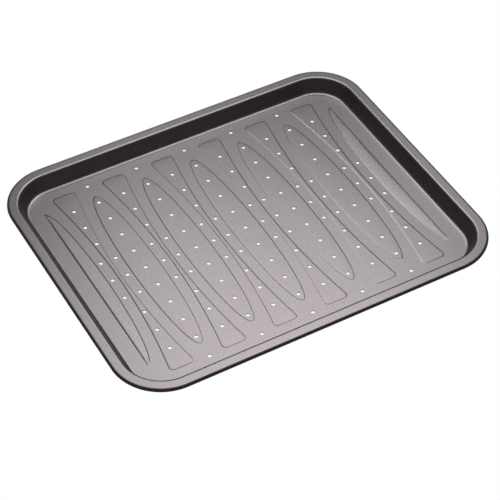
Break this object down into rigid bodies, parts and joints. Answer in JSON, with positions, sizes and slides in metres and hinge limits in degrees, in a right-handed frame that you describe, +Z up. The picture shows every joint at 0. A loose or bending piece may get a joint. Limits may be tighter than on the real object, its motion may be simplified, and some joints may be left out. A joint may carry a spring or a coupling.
{
  "type": "baking sheet",
  "caption": "Shallow rectangular pressed baking sheet with a perforated floor, raised leaf-shaped and waisted pads, sloping walls and a flat rim with a rolled edge.",
  "frame": {"origin": "on the surface that the sheet stands on, under the middle of its floor", "axes": "+X along the long side, +Y along the short side, +Z up, out of the open top"},
  "size_m": [0.379, 0.3064, 0.0154],
  "materials": {
    "nonstick_steel": "satin dark grey non-stick coat on pressed steel"
  },
  "bodies": {
    "root": {"baking_tray": "nonstick_steel"}
  },
  "joints": []
}
